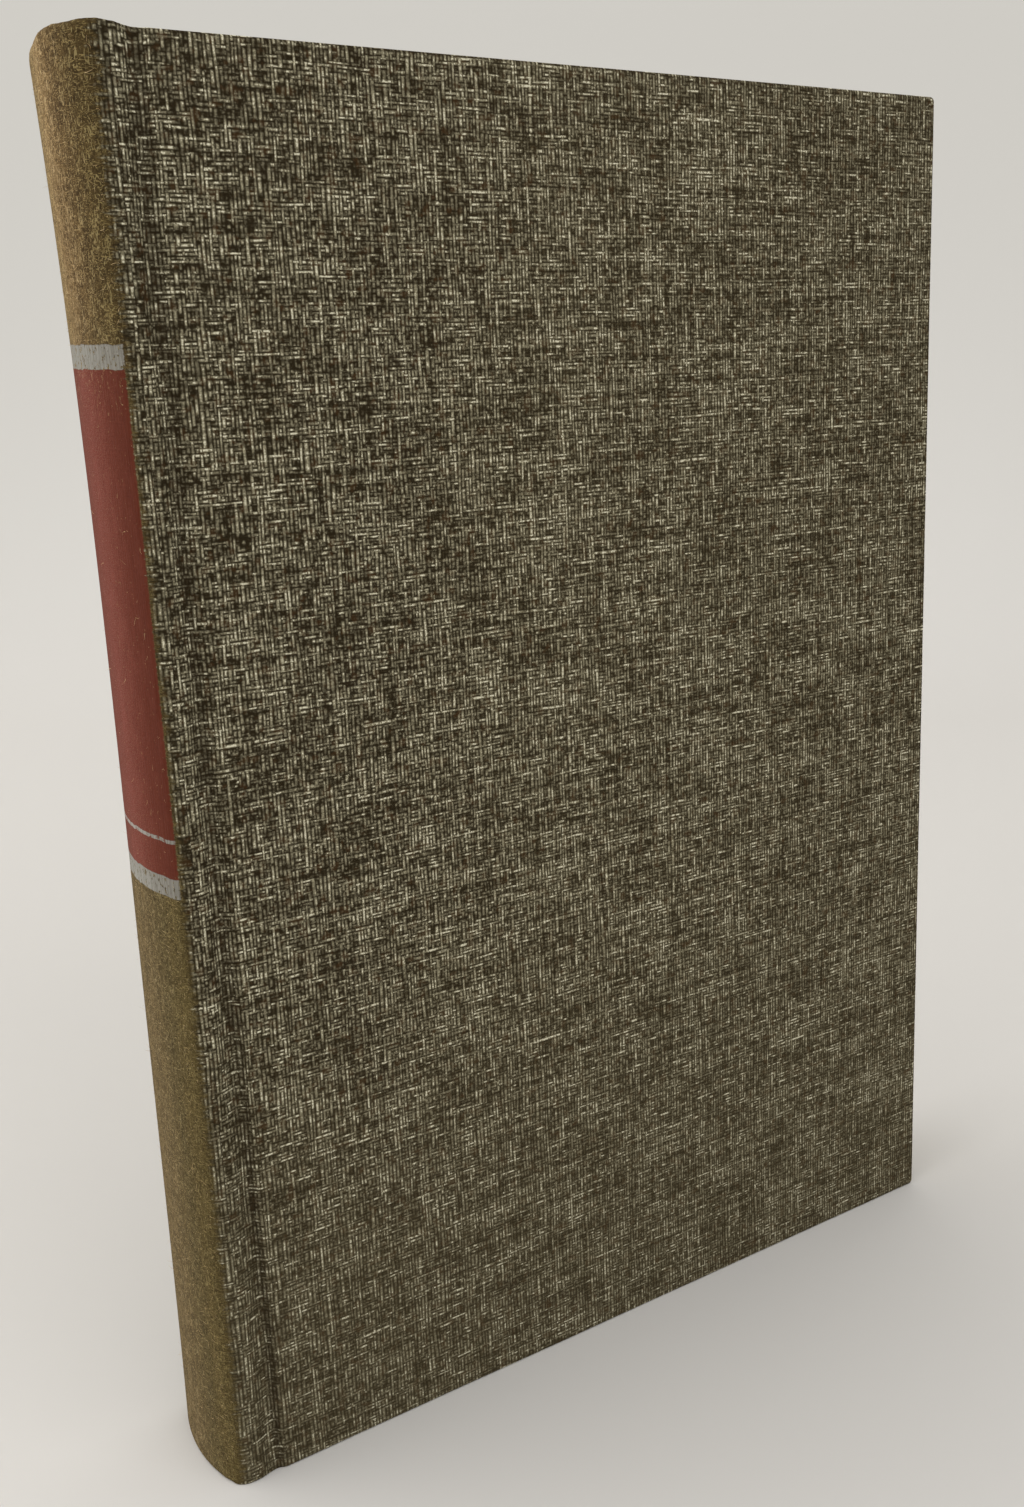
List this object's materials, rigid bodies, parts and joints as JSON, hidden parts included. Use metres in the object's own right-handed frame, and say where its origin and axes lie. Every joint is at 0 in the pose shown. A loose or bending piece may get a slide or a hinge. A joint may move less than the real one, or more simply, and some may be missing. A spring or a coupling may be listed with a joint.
{
  "type": "hardback book",
  "caption": "Hardback book: rounded and backed text block in a cloth case, covers hinged at the joints, hollow back, head and tail bands.",
  "frame": {"origin": "middle of the closed book's bounding box, on the surface that its tail stands on", "axes": "+Z from tail to head, +X from spine to fore-edge, front cover towards -Y"},
  "size_m": [0.1842, 0.031, 0.267],
  "materials": {
    "cover_cloth": "matt book cloth with a pale linen hatch on olive brown",
    "spine_cloth": "matt toned book cloth, slightly fuzzy, with a brick red field between silver bands",
    "book_paper": "trimmed leaf edges, matt",
    "endpaper": "plain laid paper, matt",
    "kraft_paper": "strong brown paper, matt",
    "card": "flexible grey-brown card",
    "grey_board": "dense grey binder's board",
    "mull_cloth": "open-weave starched cotton",
    "band_tape": "beaded cotton tape, matt"
  },
  "bodies": {
    "book_block": {"text_block": "book_paper", "front_flyleaf": "endpaper", "back_flyleaf": "endpaper", "mull": "mull_cloth", "spine_lining": "kraft_paper", "headband": "band_tape", "tailband": "band_tape", "spine_inlay": "card", "spine_cloth": "spine_cloth"},
    "front_cover": {"front_board": "grey_board", "front_cover_cloth": "cover_cloth", "front_pastedown": "endpaper"},
    "back_cover": {"back_board": "grey_board", "back_cover_cloth": "cover_cloth", "back_pastedown": "endpaper"}
  },
  "joints": [
    {"name": "front_cover_hinge", "type": "hinge", "parent": "book_block", "child": "front_cover", "pos_m": [-0.08225, -0.01515, 0.1335], "axis": [0, 0, -1], "range_deg": [0, 160]},
    {"name": "back_cover_hinge", "type": "hinge", "parent": "book_block", "child": "back_cover", "pos_m": [-0.08225, 0.01515, 0.1335], "axis": [0, 0, 1], "range_deg": [0, 160]}
  ]
}
